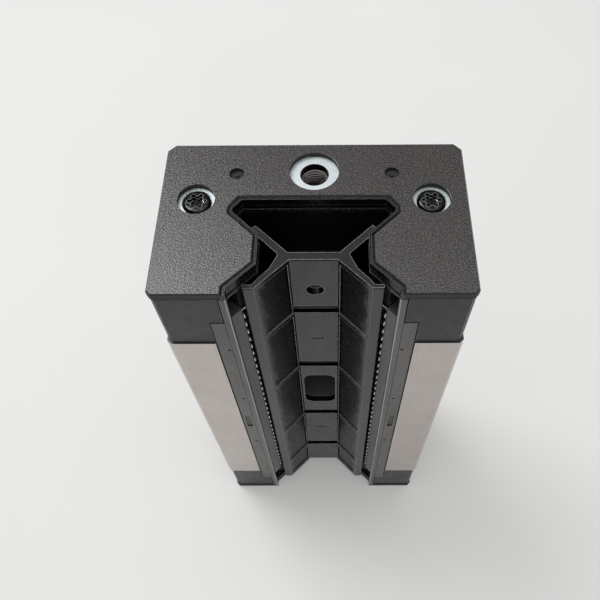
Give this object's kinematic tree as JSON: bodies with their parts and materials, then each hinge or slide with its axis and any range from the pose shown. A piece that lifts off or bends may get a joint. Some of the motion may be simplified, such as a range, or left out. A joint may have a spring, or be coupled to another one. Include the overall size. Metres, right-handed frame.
{
  "type": "linear guide carriage",
  "caption": "Roller runner block for a linear rail, with black end caps, seal plates, recirculating roller rows and a plastic transport arbor in the rail opening.",
  "frame": {"origin": "centre of the bounding box's bottom, with the carriage stood on one seal plate as in the picture", "axes": "+Z along the rail travel, +Y out of the ground mounting face, X across the width; the rail opening faces -Y"},
  "size_m": [0.086, 0.052, 0.1795],
  "materials": {
    "ground_steel": "fine ground, satin",
    "cap_plastic": "moulded, fine grain",
    "zinc_steel": "zinc plated, bluish",
    "textured_black": "coarse matte texture",
    "black_rubber": "smooth rubber",
    "black_screw": "black oxide",
    "strip_plastic": "moulded, fine grain",
    "arbor_plastic": "moulded, semi-matte",
    "insert_plastic": "moulded, smooth",
    "roller_steel": "polished"
  },
  "bodies": {
    "carriage": {"steel_body": "ground_steel", "end_cap_top": "cap_plastic", "end_cap_bottom": "cap_plastic", "front_plate_top": "zinc_steel", "front_plate_bottom": "zinc_steel", "lube_bush_top": "zinc_steel", "lube_bush_bottom": "zinc_steel", "seal_plate_top": "textured_black", "seal_plate_bottom": "textured_black", "wiper_lip_top": "black_rubber", "wiper_lip_bottom": "black_rubber", "end_screws_top": "black_screw", "end_screws_bottom": "black_screw", "side_plugs_top": "black_screw", "side_plugs_bottom": "black_screw", "side_seal_right": "strip_plastic", "side_seal_left": "strip_plastic", "foot_retainer_right": "strip_plastic", "foot_retainer_left": "strip_plastic", "crown_retainer_right": "strip_plastic", "crown_retainer_left": "strip_plastic", "nose_frame_right": "strip_plastic", "nose_frame_left": "strip_plastic", "turn_insert_top_right": "insert_plastic", "turn_insert_top_left": "insert_plastic", "turn_insert_bottom_right": "insert_plastic", "turn_insert_bottom_left": "insert_plastic", "return_tube_crown_right": "insert_plastic", "return_tube_crown_left": "insert_plastic", "return_tube_foot_right": "insert_plastic", "return_tube_foot_left": "insert_plastic"},
    "load_rollers": {"rollers_crown_right_load": "roller_steel", "rollers_crown_left_load": "roller_steel", "rollers_foot_right_load": "roller_steel", "rollers_foot_left_load": "roller_steel"},
    "return_rollers": {"rollers_crown_right_return": "roller_steel", "rollers_crown_left_return": "roller_steel", "rollers_foot_right_return": "roller_steel", "rollers_foot_left_return": "roller_steel"},
    "transport_arbor": {"transport_arbor": "arbor_plastic"},
    "turn_crown_right_top": {"rollers_crown_right_top_turn": "roller_steel"},
    "turn_crown_right_bottom": {"rollers_crown_right_bottom_turn": "roller_steel"},
    "turn_crown_left_top": {"rollers_crown_left_top_turn": "roller_steel"},
    "turn_crown_left_bottom": {"rollers_crown_left_bottom_turn": "roller_steel"},
    "turn_foot_right_top": {"rollers_foot_right_top_turn": "roller_steel"},
    "turn_foot_right_bottom": {"rollers_foot_right_bottom_turn": "roller_steel"},
    "turn_foot_left_top": {"rollers_foot_left_top_turn": "roller_steel"},
    "turn_foot_left_bottom": {"rollers_foot_left_bottom_turn": "roller_steel"}
  },
  "joints": [
    {"name": "arbor_slide", "type": "slide", "parent": "carriage", "child": "transport_arbor", "axis": [0, 0, 1], "range_m": [0, 0.18]},
    {"name": "roller_travel", "type": "slide", "parent": "carriage", "child": "load_rollers", "axis": [0, 0, 1], "range_m": [0, 0.00465]},
    {"name": "return_travel", "type": "slide", "parent": "carriage", "child": "return_rollers", "axis": [0, 0, 1], "range_m": [-0.0048, 0]},
    {"name": "turn_crown_right_top_roll", "type": "hinge", "parent": "carriage", "child": "turn_crown_right_top", "pos_m": [0.02573, -0.01141, 0.15252], "axis": [0.7071, 0.7071, 0], "range_deg": [0, 30.5]},
    {"name": "turn_crown_right_bottom_roll", "type": "hinge", "parent": "carriage", "child": "turn_crown_right_bottom", "pos_m": [0.02573, -0.01141, 0.02697], "axis": [0.7071, 0.7071, 0], "range_deg": [0, 30.5]},
    {"name": "turn_crown_left_top_roll", "type": "hinge", "parent": "carriage", "child": "turn_crown_left_top", "pos_m": [-0.02573, -0.01141, 0.15252], "axis": [0.7071, -0.7071, 0], "range_deg": [0, 30.5]},
    {"name": "turn_crown_left_bottom_roll", "type": "hinge", "parent": "carriage", "child": "turn_crown_left_bottom", "pos_m": [-0.02573, -0.01141, 0.02697], "axis": [0.7071, -0.7071, 0], "range_deg": [0, 30.5]},
    {"name": "turn_foot_right_top_roll", "type": "hinge", "parent": "carriage", "child": "turn_foot_right_top", "pos_m": [0.02573, -0.01129, 0.1595], "axis": [-0.7071, 0.7071, 0], "range_deg": [0, 30.5]},
    {"name": "turn_foot_right_bottom_roll", "type": "hinge", "parent": "carriage", "child": "turn_foot_right_bottom", "pos_m": [0.02573, -0.01129, 0.02], "axis": [-0.7071, 0.7071, 0], "range_deg": [0, 30.5]},
    {"name": "turn_foot_left_top_roll", "type": "hinge", "parent": "carriage", "child": "turn_foot_left_top", "pos_m": [-0.02573, -0.01129, 0.1595], "axis": [-0.7071, -0.7071, 0], "range_deg": [0, 30.5]},
    {"name": "turn_foot_left_bottom_roll", "type": "hinge", "parent": "carriage", "child": "turn_foot_left_bottom", "pos_m": [-0.02573, -0.01129, 0.02], "axis": [-0.7071, -0.7071, 0], "range_deg": [0, 30.5]}
  ],
  "couplings": [
    {"joint": "return_travel", "follows": "roller_travel", "ratio": -1},
    {"joint": "turn_crown_right_top_roll", "follows": "roller_travel", "rad_per_m": 112.6},
    {"joint": "turn_crown_right_bottom_roll", "follows": "roller_travel", "rad_per_m": 112.6},
    {"joint": "turn_crown_left_top_roll", "follows": "roller_travel", "rad_per_m": 112.6},
    {"joint": "turn_crown_left_bottom_roll", "follows": "roller_travel", "rad_per_m": 112.6},
    {"joint": "turn_foot_right_top_roll", "follows": "roller_travel", "rad_per_m": 112.6},
    {"joint": "turn_foot_right_bottom_roll", "follows": "roller_travel", "rad_per_m": 112.6},
    {"joint": "turn_foot_left_top_roll", "follows": "roller_travel", "rad_per_m": 112.6},
    {"joint": "turn_foot_left_bottom_roll", "follows": "roller_travel", "rad_per_m": 112.6}
  ]
}
